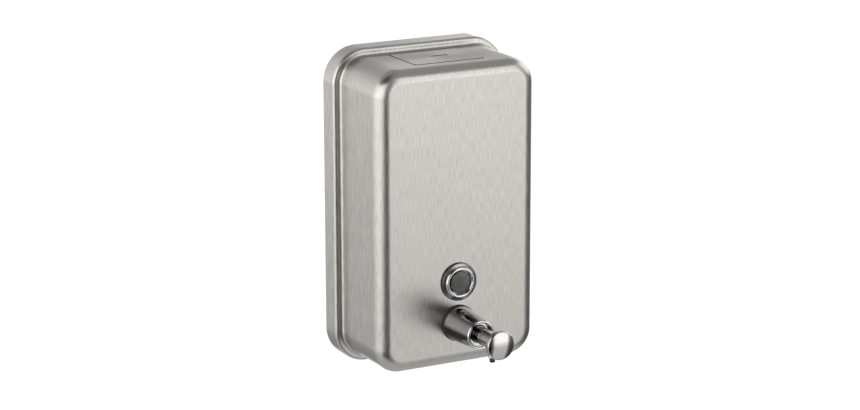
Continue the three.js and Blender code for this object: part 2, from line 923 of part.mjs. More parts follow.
function inletElbow() {
  const spigotEnd = bulkheadFront - valve.bulkhead - seat;
  const upper = inlet.passage + 1.2;
  const seatTopZ = -inlet.seatDrop + inlet.coneHeight;
  const socketTop = -inlet.legDrop + inlet.tubeSocket;
  const leg = uprightRod(inlet.legRadius, -inlet.legDrop, upper + 1.5).translate(0, -legDepth, 0);
  const hollow = upright([
    [0, upper],
    [inlet.chamber, upper],
    [inlet.chamber, seatTopZ],
    [inlet.seatRadius, -inlet.seatDrop],
    [inlet.seatRadius, socketTop],
    [inlet.tubeRadius + seat, socketTop],
    [inlet.tubeRadius + seat, -inlet.legDrop - past],
    [0, -inlet.legDrop - past],
  ]).translate(0, -legDepth, 0);
  const stopBar = box(
    -inlet.chamber - 0.5,
    inlet.chamber + 0.5,
    legDepth - 0.6,
    legDepth + 0.6,
    inletBallHeight() + inlet.ball + inlet.lift + seat,
    inletBallHeight() + inlet.ball + inlet.lift + seat + 1.2,
  );
  return leg
    .add(rod(inlet.spigotRadius, legDepth, spigotEnd))
    .subtract(hollow)
    .subtract(rod(inlet.passage, legDepth, spigotEnd + past))
    .add(stopBar);
}

function inletBallHeight() {
  const rise = Math.sqrt((inlet.ball + 0.12) ** 2 - inlet.seatRadius ** 2);
  return -inlet.seatDrop + rise;
}

function inletBall() {
  const geometry = new THREE.SphereGeometry(inlet.ball, 16, 10);
  return solid(geometry.translate(0, -legDepth, inletBallHeight()));
}

// Straight tube down to just above the tank's floor.
function intakeTube() {
  const upper = -inlet.legDrop + inlet.tubeSocket - seat;
  const floor = bottom + body.stepWidth + body.sheet - valve.height;
  const lower = floor + inlet.floorGap;
  return upright([
    [inlet.tubeBore, lower],
    [inlet.tubeRadius, lower],
    [inlet.tubeRadius, upper],
    [inlet.tubeBore, upper],
    [inlet.tubeBore, lower],
  ]).translate(0, -legDepth, 0);
}

// ---------------------------------------------------------------- assembly

const { brushedSteel, plainSteel, chrome, rubber, acetal, blackNylon, acrylic } = materials;

const tank = group([
  piece("front_shell", frontShell(), brushedSteel),
  piece("back_panel", backPanel(), plainSteel),
  piece("rail_left", receiverRail(-1), plainSteel),
  piece("rail_right", receiverRail(1), plainSteel),
  piece("lid_seat", lidSeat(), plainSteel),
  piece("hinge_pin", hingePin(), plainSteel),
]);

const wallSide = group([
  piece("wall_plate", wallPlate(), plainSteel),
  piece("lock_screw", lockScrew(), plainSteel),
]);

const lidAssembly = group(
  [
    piece("filler_lid", fillerLid(), brushedSteel),
    piece("latch_guide", latchGuide(), plainSteel),
    piece("latch_bolt", latchBolt(), plainSteel),
    piece("latch_spring", latchSpring(), plainSteel),
  ],
  0,
  hinge.depth,
  hinge.height,
);

const sightWindow = group(
  [
    piece("window_gasket", windowGasket(), rubber),
    piece("window_bezel", windowBezel(), chrome),
    piece("window_lens", windowLens(), acrylic),
    piece("lens_seal", lensSeal(), rubber),
    piece("window_washer", windowWasher(), rubber),
    piece("window_nut", windowNut(), blackNylon),
  ],
  0,
  0,
  sight.height,
);

const pushPiece = group([
  piece("push_button", pushButton(), chrome),
  piece("nozzle_tip", nozzleTip(), blackNylon),
  piece("plunger_stem", plungerStem(), chrome),
  piece("piston", piston(), acetal),
  piece("piston_seal", pistonSeal(), rubber),
  piece("outlet_ball", outletBall(), plainSteel),
  piece("outlet_spring", outletSpring(), plainSteel),
]);

const pushValve = group(
  [
    piece("valve_gasket", valveGasket(), rubber),
    piece("valve_collar", valveCollar(), chrome),
    piece("valve_barrel", valveBarrel(), acetal),
    piece("guide_bush", guideBush(), chrome),
    piece("tank_washer", tankWasher(), rubber),
    piece("barrel_nut", barrelNut(), blackNylon),
    piece("return_spring", returnSpring(), plainSteel),
    piece("inlet_elbow", inletElbow(), acetal),
    piece("inlet_ball", inletBall(), plainSteel),
    piece("intake_tube", intakeTube(), acetal),
    pushPiece,
  ],
  0,
  0,
  valve.height,
);

const dispenser = group([tank, wallSide, lidAssembly, sightWindow, pushValve]);

export default dispenser;
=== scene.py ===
import json
from math import acos, cos, pi, radians, sin, tan

import bmesh
import bpy
from mathutils import Matrix, Vector


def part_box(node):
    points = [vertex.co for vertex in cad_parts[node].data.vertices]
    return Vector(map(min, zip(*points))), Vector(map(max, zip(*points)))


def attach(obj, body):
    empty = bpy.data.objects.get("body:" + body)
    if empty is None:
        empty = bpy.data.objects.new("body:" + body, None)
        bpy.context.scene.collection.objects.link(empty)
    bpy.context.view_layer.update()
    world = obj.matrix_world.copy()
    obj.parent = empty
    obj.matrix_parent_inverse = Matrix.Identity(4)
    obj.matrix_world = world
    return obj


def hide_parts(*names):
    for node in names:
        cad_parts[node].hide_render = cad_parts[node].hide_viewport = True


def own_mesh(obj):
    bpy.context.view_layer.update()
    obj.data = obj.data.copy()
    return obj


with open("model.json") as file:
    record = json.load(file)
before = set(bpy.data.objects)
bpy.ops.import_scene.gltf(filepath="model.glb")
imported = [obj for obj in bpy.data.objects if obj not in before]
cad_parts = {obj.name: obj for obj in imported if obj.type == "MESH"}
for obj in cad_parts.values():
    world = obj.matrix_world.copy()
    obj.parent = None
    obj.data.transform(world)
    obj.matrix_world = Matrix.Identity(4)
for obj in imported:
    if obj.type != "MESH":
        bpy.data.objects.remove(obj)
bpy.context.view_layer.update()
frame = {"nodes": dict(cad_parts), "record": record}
print("frame loaded:", len(frame["nodes"]), "nodes")

# Sizes are in millimetres, depth is the distance out of the wall, and angles are in degrees.

mm = 0.001
gap = 0.3  # between two pieces that touch
play = 0.25  # round what turns or slides
past = 2.0  # how far a cutter runs past what it cuts

cameraSet = {
    "aim": (-3.71, -35.0, 1.33),
    "distance": 1642.98,
    "left": 28.037,  # how far round to the left of the front it stands
    "up": 14.614,
    "roll": 0.097,
    "lens": 108.285,
    "sensor": 36.0,
    "near": 50,
    "far": 80000,
}


def makeCamera(c):
    data = bpy.data.cameras.new("camera")
    data.lens = c["lens"]
    data.sensor_width = c["sensor"]
    data.clip_start = c["near"] * mm
    data.clip_end = c["far"] * mm
    camera = bpy.data.objects.new("camera", data)
    bpy.context.scene.collection.objects.link(camera)
    left, up = radians(c["left"]), radians(c["up"])
    ahead = Vector((sin(left) * cos(up), cos(left) * cos(up), -sin(up)))
    place = (Vector(c["aim"]) - ahead * c["distance"]) * mm
    turn = ahead.to_track_quat("-Z", "Y").to_matrix().to_4x4()
    roll = Matrix.Rotation(radians(-c["roll"]), 4, "Z")
    camera.matrix_world = Matrix.Translation(place) @ turn @ roll
    bpy.context.scene.camera = camera


makeCamera(cameraSet)

studioSet = {
    "around": [  # turn from straight ahead towards the left side, brightness
        (-180, 0.50),
        (-150, 0.50),
        (-118, 0.48),
        (-108, 0.18),
        (-50, 0.15),
        (-45, 0.30),
        (-40, 1.54),
        (-15, 1.54),
        (-11, 0.30),
        (-7, 0.03),
        (28, 0.03),
        (34, 0.36),
        (40, 1.50),
        (90, 1.46),
        (110, 1.25),
        (130, 1.02),
        (150, 0.80),
        (165, 0.62),
        (180, 0.50),
    ],
    "lean": (2.6, 12, -20, 6),  # the left panel's edge leans: turn per degree of height, from where, limits
    "leanOver": (6, 24, 56, 84),  # turns where the lean comes in and goes out again
    "upDown": [  # height above the horizon, share of the brightness all round
        (-90, 0.50),
        (-32, 0.50),
        (-19, 0.57),
        (-9, 1.22),
        (0, 1.20),
        (12, 1.08),
        (90, 1.05),
    ],
    "panels": [  # more bright panels, behind on the right: turns and heights, each in and out, brightness
        ((-150, -140, -74, -62), (0, 7, 34, 44), 1.6),
        ((-172, -162, -140, -130), (-40, -30, 3, 10), 1.6),
    ],
    "below": (-50, -34, 0.55),  # full from, gone by, brightness
    "overhead": (31, 43, 0.33),
    "darkCorner": (10, 30, 92, 112, 0.02),  # high on the left: turns, brightness
    "tint": (1.0, 0.985, 0.965),
    "lightMap": 1024,
    "floorDrop": 420,  # floor, below the middle of the body
    "floorSize": 40000,
    "floorGlow": 0.62,
    "floorShade": 0.86,
    "floorRoughness": 0.9,
}


def joinedTo(tree, socket, value):
    if isinstance(value, (int, float)):
        socket.default_value = value
    else:
        tree.links.new(value, socket)


def mathNode(tree, operation, *values):
    node = tree.nodes.new("ShaderNodeMath")
    node.operation = operation
    for socket, value in zip(node.inputs, values):
        joinedTo(tree, socket, value)
    return node.outputs[0]


def rangeNode(tree, value, low, high, toLow=0.0, toHigh=1.0, kind="SMOOTHSTEP"):
    node = tree.nodes.new("ShaderNodeMapRange")
    node.interpolation_type = kind
    tree.links.new(value, node.inputs["Value"])
    for name, number in zip(("From Min", "From Max", "To Min", "To Max"), (low, high, toLow, toHigh)):
        node.inputs[name].default_value = number
    return node.outputs["Result"]


# Straight lines between points of (angle, number), the first and the last at the ends of the range
def curveNode(tree, angle, points):
    low, high = points[0][0], points[-1][0]
    tallest = max(number for _, number in points)
    node = tree.nodes.new("ShaderNodeFloatCurve")
    curve = node.mapping.curves[0]
    node.mapping.use_clip = False
    spots = [((a - low) / (high - low), b / tallest) for a, b in points]
    curve.points[0].location = spots[0]
    curve.points[1].location = spots[-1]
    for spot in spots[1:-1]:
        curve.points.new(*spot)
    for point in curve.points:
        point.handle_type = "VECTOR"
    node.mapping.update()
    share = rangeNode(tree, angle, radians(low), radians(high), kind="LINEAR")
    tree.links.new(share, node.inputs["Value"])
    return mathNode(tree, "MULTIPLY", node.outputs["Value"], tallest)


def mixNumbers(tree, share, first, second):
    node = tree.nodes.new("ShaderNodeMix")
    for index, value in ((0, share), (2, first), (3, second)):
        joinedTo(tree, node.inputs[index], value)
    return node.outputs[0]


# 1 between the two middle angles, 0 outside the outer two
def bandNode(tree, angle, riseFrom, riseTo, fallFrom, fallTo):
    rise = rangeNode(tree, angle, radians(riseFrom), radians(riseTo))
    fall = rangeNode(tree, angle, radians(fallFrom), radians(fallTo), 1.0, 0.0)
    return mathNode(tree, "MULTIPLY", rise, fall)


def makeWorld(s):
    world = bpy.data.worlds.new("studio")
    bpy.context.scene.world = world
    world.use_nodes = True
    tree = world.node_tree
    way = tree.nodes.new("ShaderNodeTexCoord").outputs["Generated"]
    split = tree.nodes.new("ShaderNodeSeparateXYZ")
    tree.links.new(way, split.inputs[0])
    leftward = mathNode(tree, "MULTIPLY", split.outputs["X"], -1.0)
    forward = mathNode(tree, "MULTIPLY", split.outputs["Y"], -1.0)
    turn = mathNode(tree, "ARCTAN2", leftward, forward)
    height = mathNode(tree, "ARCSINE", split.outputs["Z"])

    slope, start, least, most = s["lean"]
    leaning = mathNode(tree, "MULTIPLY", mathNode(tree, "ADD", height, radians(start)), slope)
    leaning = mathNode(tree, "MAXIMUM", leaning, radians(least))
    leaning = mathNode(tree, "MINIMUM", leaning, radians(most))
    leant = mathNode(tree, "MULTIPLY_ADD", leaning, bandNode(tree, turn, *s["leanOver"]), turn)
    around = curveNode(tree, leant, s["around"])
    walls = mathNode(tree, "MULTIPLY", around, curveNode(tree, height, s["upDown"]))
    for turns, heights, bright in s["panels"]:
        onPanel = mathNode(tree, "MULTIPLY", bandNode(tree, turn, *turns), bandNode(tree, height, *heights))
        walls = mixNumbers(tree, onPanel, walls, bright)

    full, gone, bright = s["below"]
    fromBelow = rangeNode(tree, height, radians(full), radians(gone))
    lower = mixNumbers(tree, fromBelow, bright, walls)
    *turns, dim = s["darkCorner"]
    gone, full, bright = s["overhead"]
    above = mixNumbers(tree, bandNode(tree, turn, *turns), bright, dim)
    toAbove = rangeNode(tree, height, radians(gone), radians(full))
    background = tree.nodes["Background"]
    background.inputs["Color"].default_value = (*s["tint"], 1)
    tree.links.new(mixNumbers(tree, toAbove, lower, above), background.inputs["Strength"])
    world.cycles.sampling_method = "MANUAL"
    world.cycles.sample_map_resolution = s["lightMap"]


def makeFloor(s):
    half = s["floorSize"] * mm / 2
    drop = -s["floorDrop"] * mm
    data = bpy.data.meshes.new("floor")
    corners = [(-half, -half, drop), (half, -half, drop), (half, half, drop), (-half, half, drop)]
    data.from_pydata(corners, [], [(0, 1, 2, 3)])
    floor = bpy.data.objects.new("floor", data)
    bpy.context.scene.collection.objects.link(floor)
    floor.visible_glossy = False  # the steel mirrors the studio's panels and not the bare floor
    material = bpy.data.materials.new("paleFloor")
    material.use_nodes = True
    shader = material.node_tree.nodes["Principled BSDF"]
    shade = s["floorShade"]
    shader.inputs["Base Color"].default_value = (shade, shade, shade, 1)
    shader.inputs["Roughness"].default_value = s["floorRoughness"]
    shader.inputs["Emission Color"].default_value = (1, 1, 1, 1)
    shader.inputs["Emission Strength"].default_value = s["floorGlow"]
    data.materials.append(material)


makeWorld(studioSet)
makeFloor(studioSet)
bpy.context.scene.view_settings.view_transform = "Standard"
print("camera, studio light and floor made")


def freshMaterial(name):
    material = bpy.data.materials.new(name)
    material.use_nodes = True
    tree = material.node_tree
    return material, tree, tree.nodes["Principled BSDF"]


# Noise: each size is that of a grain along X, Y and Z.
def grain(tree, sizes, detail=2.0, roughness=0.55):
    place = tree.nodes.new("ShaderNodeTexCoord").outputs["Object"]
    scaled = tree.nodes.new("ShaderNodeMapping")
    scaled.inputs["Scale"].default_value = [1 / (size * mm) for size in sizes]
    tree.links.new(place, scaled.inputs["Vector"])
    noise = tree.nodes.new("ShaderNodeTexNoise")
    noise.inputs["Scale"].default_value = 1.0
    noise.inputs["Detail"].default_value = detail
    noise.inputs["Roughness"].default_value = roughness
    tree.links.new(scaled.outputs["Vector"], noise.inputs["Vector"])
    return noise.outputs["Fac"]


# Noise lies mostly between these, so they are what a finish's two ends are tied to.
noiseLow, noiseHigh = 0.3, 0.7


def between(tree, value, low, high):
    return rangeNode(tree, value, noiseLow, noiseHigh, low, high, kind="LINEAR")


def tinted(tree, value, dark, light):
    ramp = tree.nodes.new("ShaderNodeValToRGB")
    ends = ramp.color_ramp.elements
    for end, position, colour in zip(ends, (noiseLow, noiseHigh), (dark, light)):
        end.position = position
        end.color = (*colour, 1)
    tree.links.new(value, ramp.inputs["Fac"])
    return ramp.outputs["Color"]


def raised(tree, shader, value, height):
    bump = tree.nodes.new("ShaderNodeBump")
    bump.inputs["Distance"].default_value = height * mm
    bump.inputs["Strength"].default_value = 1.0
    tree.links.new(value, bump.inputs["Height"])
    tree.links.new(bump.outputs["Normal"], shader.inputs["Normal"])


# Colour and roughness follow one noise, between the finish's two ends of each.
def coloured(tree, shader, value, look):
    tree.links.new(tinted(tree, value, look["dark"], look["light"]), shader.inputs["Base Color"])
    tree.links.new(between(tree, value, *look["roughness"]), shader.inputs["Roughness"])


brushedSet = {
    "dark": (0.460, 0.451, 0.437),
    "light": (0.755, 0.740, 0.716),
    "cloudShare": 0.06,
    "strand": (0.40, 0.40, 8.0),  # one brush line: its width across and its length up
    "cloud": (26.0, 26.0, 60.0),
    "roughness": (0.28, 0.34),
    "anisotropy": 0.6,
    "lineHeight": 0.0003,
}


def brushedSteelFinish(b):
    material, tree, shader = freshMaterial("brushedSteel")
    strands = grain(tree, b["strand"], 3.0)
    clouds = grain(tree, b["cloud"])
    coloured(tree, shader, mixNumbers(tree, b["cloudShare"], strands, clouds), b)
    shader.inputs["Metallic"].default_value = 1.0
    shader.inputs["Anisotropic"].default_value = b["anisotropy"]
    tangent = tree.nodes.new("ShaderNodeTangent")
    tangent.direction_type = "RADIAL"
    tangent.axis = "Z"
    tree.links.new(tangent.outputs[0], shader.inputs["Tangent"])
    raised(tree, shader, strands, b["lineHeight"])
    return material


polishedSet = {
    "dark": (0.60, 0.60, 0.607),
    "light": (0.69, 0.69, 0.697),
    "smudge": (6.0, 6.0, 6.0),
    "scratch": (0.25, 9.0, 0.25),
    "scratchHeight": 0.0003,
}
polishedKinds = {  # roughness, share of the full brightness
    "polishedChrome": ((0.02, 0.05), 1.0),
    "satinChrome": ((0.24, 0.32), 0.64),
    # painted shade: a half-bright, slightly rougher copy of the chrome, whose darker colour stands for the
    # dark reflections on the collar's flank and on the stem
    "paintedShadeChrome": ((0.06, 0.12), 0.5),
    "buttonChrome": ((0.015, 0.03), 0.78),
}


def polishedFinish(p, name, roughness, share):
    material, tree, shader = freshMaterial(name)
    smudges = grain(tree, p["smudge"], 3.0)
    scratches = grain(tree, p["scratch"])
    dark, light = ([part * share for part in p[end]] for end in ("dark", "light"))
    tree.links.new(tinted(tree, smudges, dark, light), shader.inputs["Base Color"])
    tree.links.new(between(tree, scratches, *roughness), shader.inputs["Roughness"])
    shader.inputs["Metallic"].default_value = 1.0
    raised(tree, shader, scratches, p["scratchHeight"])
    return material


# Dull and grained finishes: the grain's size and detail, how high it stands, and how much it shines
mouldedGrain = {"grain": (0.35, 0.35, 0.35), "detail": 4.0, "height": 0.01}
grainedSet = {
    "blackRubber": {
        "dark": (0.008, 0.008, 0.009),
        "light": (0.018, 0.018, 0.019),
        "roughness": (0.42, 0.6),
        **mouldedGrain,
    },
    "blackNylon": {
        "dark": (0.010, 0.010, 0.011),
        "light": (0.020, 0.020, 0.022),
        "roughness": (0.3, 0.45),
        **mouldedGrain,
    },
    "frostedBore": {
        "dark": (0.24, 0.24, 0.25),
        "light": (0.46, 0.46, 0.47),
        "roughness": (0.4, 0.6),
        **mouldedGrain,
    },
    "whiteAcetal": {
        "dark": (0.70, 0.69, 0.66),
        "light": (0.80, 0.79, 0.76),
        "roughness": (0.35, 0.5),
        **mouldedGrain,
    },
    "paintedSeamShade": {  # painted shade: the cut edges and the walls inside the seams are near black to stand for the shade that falls in the seams
        "dark": (0.010, 0.010, 0.009),
        "light": (0.030, 0.029, 0.027),
        "roughness": (0.8, 0.95),
        "grain": (0.5, 0.5, 0.5),
        "detail": 3.0,
        "height": 0.01,
        "shine": 0.2,
    },
    "plainSteel": {
        "dark": (0.40, 0.40, 0.40),
        "light": (0.52, 0.52, 0.515),
        "roughness": (0.32, 0.48),
        "grain": (1.2, 1.2, 14.0),
        "detail": 4.0,
        "height": 0.002,
        "metal": 1.0,
    },
}


def grainedFinish(name, g):
    material, tree, shader = freshMaterial(name)
    speckle = grain(tree, g["grain"], g["detail"])
    coloured(tree, shader, speckle, g)
    shader.inputs["Metallic"].default_value = g.get("metal", 0.0)
    shader.inputs["Specular IOR Level"].default_value = g.get("shine", 0.5)
    raised(tree, shader, speckle, g["height"])
    return material


acrylicSet = {
    "dark": (0.72, 0.73, 0.73),
    "light": (0.80, 0.81, 0.81),
    "roughness": (0.0, 0.03),
    "haze": (5.0, 5.0, 5.0),
    "refraction": 1.49,
    "shine": 0.06,
}


def clearAcrylicFinish(a):
    material, tree, shader = freshMaterial("clearAcrylic")
    coloured(tree, shader, grain(tree, a["haze"], 3.0), a)
    shader.inputs["Transmission Weight"].default_value = 1.0
    shader.inputs["IOR"].default_value = a["refraction"]
    shader.inputs["Specular IOR Level"].default_value = a["shine"]
    return material


finish = {name: polishedFinish(polishedSet, name, *kind) for name, kind in polishedKinds.items()}
finish.update({name: grainedFinish(name, kind) for name, kind in grainedSet.items()})
finish["brushedSteel"] = brushedSteelFinish(brushedSet)
finish["clearAcrylic"] = clearAcrylicFinish(acrylicSet)
print("materials made")


def arcPoints(centreA, centreB, radius, start, end, steps):
    turns = [radians(start + (end - start) * i / steps) for i in range(steps + 1)]
    return [(centreA + radius * cos(t), centreB + radius * sin(t)) for t in turns]


def circlePoints(radius, steps):
    return arcPoints(0, 0, radius, 0, 360 * (steps - 1) / steps, steps - 1)


def roundedRectangle(halfWidth, halfHeight, radius, steps):
    made = []
    for signA, signB, start in ((1, 1, 0), (-1, 1, 90), (-1, -1, 180), (1, -1, 270)):
        a, b = signA * (halfWidth - radius), signB * (halfHeight - radius)
        made += arcPoints(a, b, radius, start, start + 90, steps)
    return made


# An outline of (a, b) or (a, b, corner radius); each corner with a radius becomes an arc.
def softened(points, steps=5, closed=True):
    made = []
    for i, point in enumerate(points):
        atEnd = not closed and i in (0, len(points) - 1)
        if len(point) < 3 or atEnd:
            made.append(tuple(point[:2]))
            continue
        here = Vector(point[:2])
        before = Vector(points[i - 1][:2]) - here
        after = Vector(points[(i + 1) % len(points)][:2]) - here
        halfAngle = before.angle(after) / 2
        reach = min(point[2] / tan(halfAngle), 0.49 * before.length, 0.49 * after.length)
        radius = reach * tan(halfAngle)
        start, end = here + before.normalized() * reach, here + after.normalized() * reach
        inward = (before.normalized() + after.normalized()).normalized()
        centre = here + inward * (radius / sin(halfAngle))
        first, last = start - centre, end - centre
        sweep = acos(max(-1, min(1, first.dot(last) / first.length / last.length)))
        side = 1 if first.x * last.y - first.y * last.x > 0 else -1
        for k in range(steps + 1):
            t = side * sweep * k / steps
            a = first.x * cos(t) - first.y * sin(t)
            b = first.x * sin(t) + first.y * cos(t)
            made.append((centre.x + a, centre.y + b))
    return made


def closedMesh(bm, name):
    bmesh.ops.remove_doubles(bm, verts=bm.verts, dist=1e-7)
    bmesh.ops.recalc_face_normals(bm, faces=bm.faces)
    data = bpy.data.meshes.new(name)
    bm.to_mesh(data)
    bm.free()
    made = bpy.data.objects.new(name, data)
    bpy.context.scene.collection.objects.link(made)
    return made


def ringFaces(bm, first, second):
    count = max(len(first), len(second))
    for i in range(count):
        j = (i + 1) % count
        if len(first) == 1:
            bm.faces.new((first[0], second[i], second[j]))
        elif len(second) == 1:
            bm.faces.new((first[i], first[j], second[0]))
        else:
            bm.faces.new((first[i], first[j], second[j], second[i]))


# A profile of (radius, place along the axis) turned round an axis: "out" runs out of the wall, "up" upwards,
# "across" to the right. centre is (x, depth, z), where the axis passes.
def turned(name, profile, steps=96, axis="out", centre=(0, 0, 0)):
    bm = bmesh.new()
    cx, cd, cz = centre
    rings = []
    for radius, along in profile:
        ring = []
        for a, b in [(0, 0)] if radius < 1e-6 else circlePoints(radius, steps):
            place = {
                "out": (cx + a, -(cd + along), cz + b),
                "up": (cx + a, -cd + b, cz + along),
                "across": (cx + along, -cd + a, cz + b),
            }[axis]
            ring.append(bm.verts.new([part * mm for part in place]))
        rings.append(ring)
    pairs = list(zip(rings, rings[1:]))
    if len(rings[0]) > 1 or len(rings[-1]) > 1:
        pairs.append((rings[-1], rings[0]))
    for first, second in pairs:
        if len(first) > 1 or len(second) > 1:
            ringFaces(bm, first, second)
    return closedMesh(bm, name)


def rod(name, radius, start, end, steps, axis="out", centre=(0, 0, 0)):
    return turned(name, [(0, start), (radius, start), (radius, end), (0, end)], steps, axis, centre)


# A closed skin through rings of (x, depth, z) points, with a flat face at each end.
def lofted(name, rings):
    bm = bmesh.new()
    made = [[bm.verts.new((x * mm, -d * mm, z * mm)) for x, d, z in ring] for ring in rings]
    for first, second in zip(made, made[1:]):
        ringFaces(bm, first, second)
    bm.faces.new(made[0])
    bm.faces.new(made[-1])
    return closedMesh(bm, name)


# A flat outline pushed along an axis. Its (a, b) are x and depth for "up", x and z for "out", and depth
# and z for "across".
def pushed(name, outline, start, end, axis="up"):
    def place(a, b, c):
        return {"up": (a, b, c), "out": (a, c, b), "across": (c, a, b)}[axis]

    return lofted(name, [[place(a, b, c) for a, b in outline] for c in (start, end)])


def block(name, x, depth, z):
    outline = [(x[0], depth[0]), (x[1], depth[0]), (x[1], depth[1]), (x[0], depth[1])]
    return pushed(name, outline, *z)


def applied(piece):
    graph = bpy.context.evaluated_depsgraph_get()
    data = bpy.data.meshes.new_from_object(piece.evaluated_get(graph))
    piece.modifiers.clear()
    old = piece.data
    piece.data = data
    bpy.data.meshes.remove(old)
    return piece


def combined(piece, others, operation):
    for other in others:
        change = piece.modifiers.new("change", "BOOLEAN")
        change.operation = operation
        change.solver = "EXACT"
        change.object = other
    applied(piece)
    for other in others:
        bpy.data.objects.remove(other)
    return piece


def cut(piece, *others):
    return combined(piece, others, "DIFFERENCE")


def joined(piece, *others):
    return combined(piece, others, "UNION")


# Rounds the sharp edges that are left, by this width.
def eased(piece, width, segments=2):
    ease = piece.modifiers.new("ease", "BEVEL")
    ease.width = width * mm
    ease.segments = segments
    ease.limit_method = "ANGLE"
    ease.angle_limit = radians(35)
    ease.use_clamp_overlap = True
    ease.harden_normals = False
    return applied(piece)


# others are (material, test) pairs; a face whose centre and normal pass a test takes that material.
def placed(piece, node, body, material, smoothBelow=32, others=()):
    piece.data.shade_smooth()
    piece.data.set_sharp_from_angle(angle=radians(smoothBelow))
    flatter = piece.modifiers.new("flatter", "WEIGHTED_NORMAL")  # keeps large flat faces flat to their edges
    flatter.keep_sharp = True
    flatter.weight = 90
    applied(piece)
    data = piece.data
    data.name = piece.name
    data.materials.clear()
    data.materials.append(finish[material])
    for index, (other, test) in enumerate(others, 1):
        data.materials.append(finish[other])
        for part in data.polygons:
            if test(part.center / mm, part.normal):
                part.material_index = index
    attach(piece, body)
    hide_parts(node)
    return piece


# A CAD node's box: lowest and highest corner
def span(node):
    low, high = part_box(node)
    return low / mm, high / mm


# How deep its back and its front lie
def depths(node):
    low, high = span(node)
    return -high.y, -low.y


# Tank

shellSet = {
    "sheet": 1.0,
    "cornerRadius": 22.0,
    "rimDepth": 14.5,
    "stepWidth": 5.2,
    "stepRadius": 2.0,
    "frontFillet": 8.5,
    "cornerSteps": 18,
    "stepSteps": 8,
    "filletSteps": 18,
    "edgeRound": 0.15,
    "lockHole": 2.3,
    "lockDepth": 4.2,  # where the lock screw goes in
}
lidSet = {
    "cornerRadius": 2.0,
    "holeCornerRadius": 1.0,
    "seam": 0.4,
    "rearSeam": 0.8,
    "slotLength": 12.0,
    "slotWidth": 1.6,
    "slotX": 2.9,
    "slotDepth": 34.96,
    "hingeIn": 2.2,
    "pinRadius": 0.8,
    "knuckleRadius": 1.7,
    "knuckleWidth": 4.0,
    "knuckleX": 16.0,
    "webShare": 0.8,  # half width of a knuckle's web, as a share of its radius
    "webInto": 0.4,
    "edgeRound": 0.15,
    "proud": 0.18,  # over the tank's top
}
sightSet = {
    "height": -41.8,
    "tail": 9.3,
    "flange": 12.1,
    "edge": 0.5,
    "lip": 10.2,
    "pocket": 7.7,
    "innerBore": 6.3,
    "lensCrown": 0.4,
    "lensEdge": 0.15,
    "tailRound": 0.3,
    "boreRound": 0.25,
    "boreReach": 0.4,  # how far out from the bore the frosting goes
    "flangeRounds": (0.12, 0.18),
    "lipFoot": (0.12, 0.1),
    "gasketRound": 0.2,
    "steps": 128,
}
valveSet = {
    "height": -69.0,
    "barrel": 8.2,
    "base": 11.3,
    "front": 9.5,
    "lip": 2.0,
    "recess": 3.2,
    "baseRound": 0.4,
    "mouthRound": 0.15,
    "gasketSlope": 0.7,
    "gasketRound": 0.3,
    "bushBore": 5.65,
    "bushSpigot": 7.0,
    "bushFlange": 1.5,
    "steps": 128,
}

sheet = shellSet["sheet"]
shellLow, shellHigh = span("front_shell")
lidHigh = span("filler_lid")[1]
face = -shellLow.y
halfWidth = shellHigh.x
halfHeight = shellHigh.z
roof = halfHeight - shellSet["stepWidth"]
lidHalf = lidHigh.x
lidRear, lidFront = depths("filler_lid")
hingeDepth, hingeHeight = lidRear + lidSet["hingeIn"], lidHigh.z - lidSet["hingeIn"]
sightAxis = (0, 0, sightSet["height"])
valveAxis = (0, 0, valveSet["height"])
pickSlack = 0.1  # how far past a limit a face's middle may lie and still be picked
steep = 0.9  # a face whose normal leans less than this towards the vertical counts as upright


def tankRing(inset, depth, s):
    corner = s["cornerRadius"] - inset
    outline = roundedRectangle(halfWidth - inset, halfHeight - inset, corner, s["cornerSteps"])
    return [(x, depth, z) for x, z in outline]


# (inset, depth) from the wall to the front face, skin under the surface
def tankProfile(s, skin):
    step, fillet = s["stepRadius"], s["frontFillet"]
    inner = s["stepWidth"] - step
    shoulder = arcPoints(step, s["rimDepth"] - step, step - skin, 180, 90, s["stepSteps"])
    hollow = arcPoints(inner, s["rimDepth"] + step, step + skin, -90, 0, s["stepSteps"])
    front = arcPoints(s["stepWidth"] + fillet, face - fillet, fillet - skin, 180, 90, s["filletSteps"])
    return shoulder + hollow + front


def lidOutline(grow, rearGrow, corner, steps=8):
    middle = (lidFront + grow + lidRear - rearGrow) / 2
    halfDepth = (lidFront - lidRear + grow + rearGrow) / 2
    return [(x, d + middle) for x, d in roundedRectangle(lidHalf + grow, halfDepth, corner, steps)]


def makeFrontShell(s, l):
    shell = lofted("frontShell", [tankRing(*place, s) for place in [(0, 0)] + tankProfile(s, 0)])
    inner = [(sheet, -past)] + tankProfile(s, sheet)
    hollow = lofted("hollow", [tankRing(*place, s) for place in inner])
    holeOutline = lidOutline(l["seam"], l["rearSeam"], l["holeCornerRadius"])
    lidHole = pushed("lidHole", holeOutline, roof - sheet - past, roof + past)
    ends = (face - sheet - past, face + past)
    sightHole = rod("sightHole", sightSet["tail"] + gap, *ends, 96, centre=sightAxis)
    valveHole = rod("valveHole", valveSet["barrel"] + gap, *ends, 96, centre=valveAxis)
    ends = (-halfHeight - past, -halfHeight + sheet + past)
    lockHole = rod("lockHole", s["lockHole"], *ends, 32, "up", (0, s["lockDepth"], 0))
    cut(shell, hollow, lidHole, sightHole, valveHole, lockHole)
    eased(shell, s["edgeRound"])

    def inLidHole(middle, normal):
        wide = abs(middle.x) < lidHalf + l["seam"] + gap
        deep = lidRear - l["rearSeam"] - gap < -middle.y < lidFront + l["seam"] + gap
        return wide and deep and middle.z > roof - sheet - pickSlack and abs(normal.z) < steep

    # the walls round the lid hole take the painted seam shade
    placed(shell, "front_shell", "tank", "brushedSteel", 25, [("paintedSeamShade", inLidHole)])


